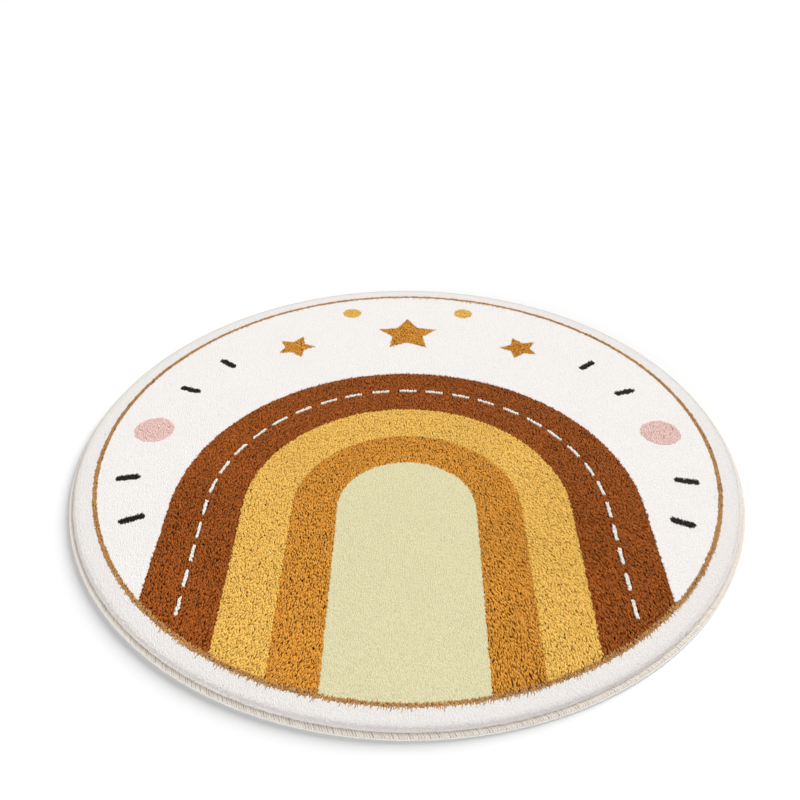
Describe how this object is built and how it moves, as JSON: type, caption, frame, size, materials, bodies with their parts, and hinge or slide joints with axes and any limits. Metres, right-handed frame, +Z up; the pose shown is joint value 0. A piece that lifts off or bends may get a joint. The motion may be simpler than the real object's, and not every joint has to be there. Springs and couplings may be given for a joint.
{
  "type": "round kids rug",
  "caption": "Round flat rug with a short cut pile, a thin ring line inside its border and a ribbed overlocked edge, for a playroom floor.",
  "frame": {"origin": "centre of the underside, on the floor", "axes": "+Z up through the pile, +Y towards the top of the pile's design, +X to its right"},
  "size_m": [0.8, 0.8, 0.01],
  "materials": {
    "ivory_pile": "matte",
    "brown_pile": "matte",
    "gold_pile": "matte",
    "amber_pile": "matte",
    "straw_pile": "matte",
    "rose_pile": "matte",
    "black_pile": "matte",
    "edge_yarn": "matte",
    "backing_cloth": "matte"
  },
  "bodies": {
    "root": {"pile_panel": "ivory_pile", "edge_binding": "edge_yarn"}
  },
  "joints": []
}
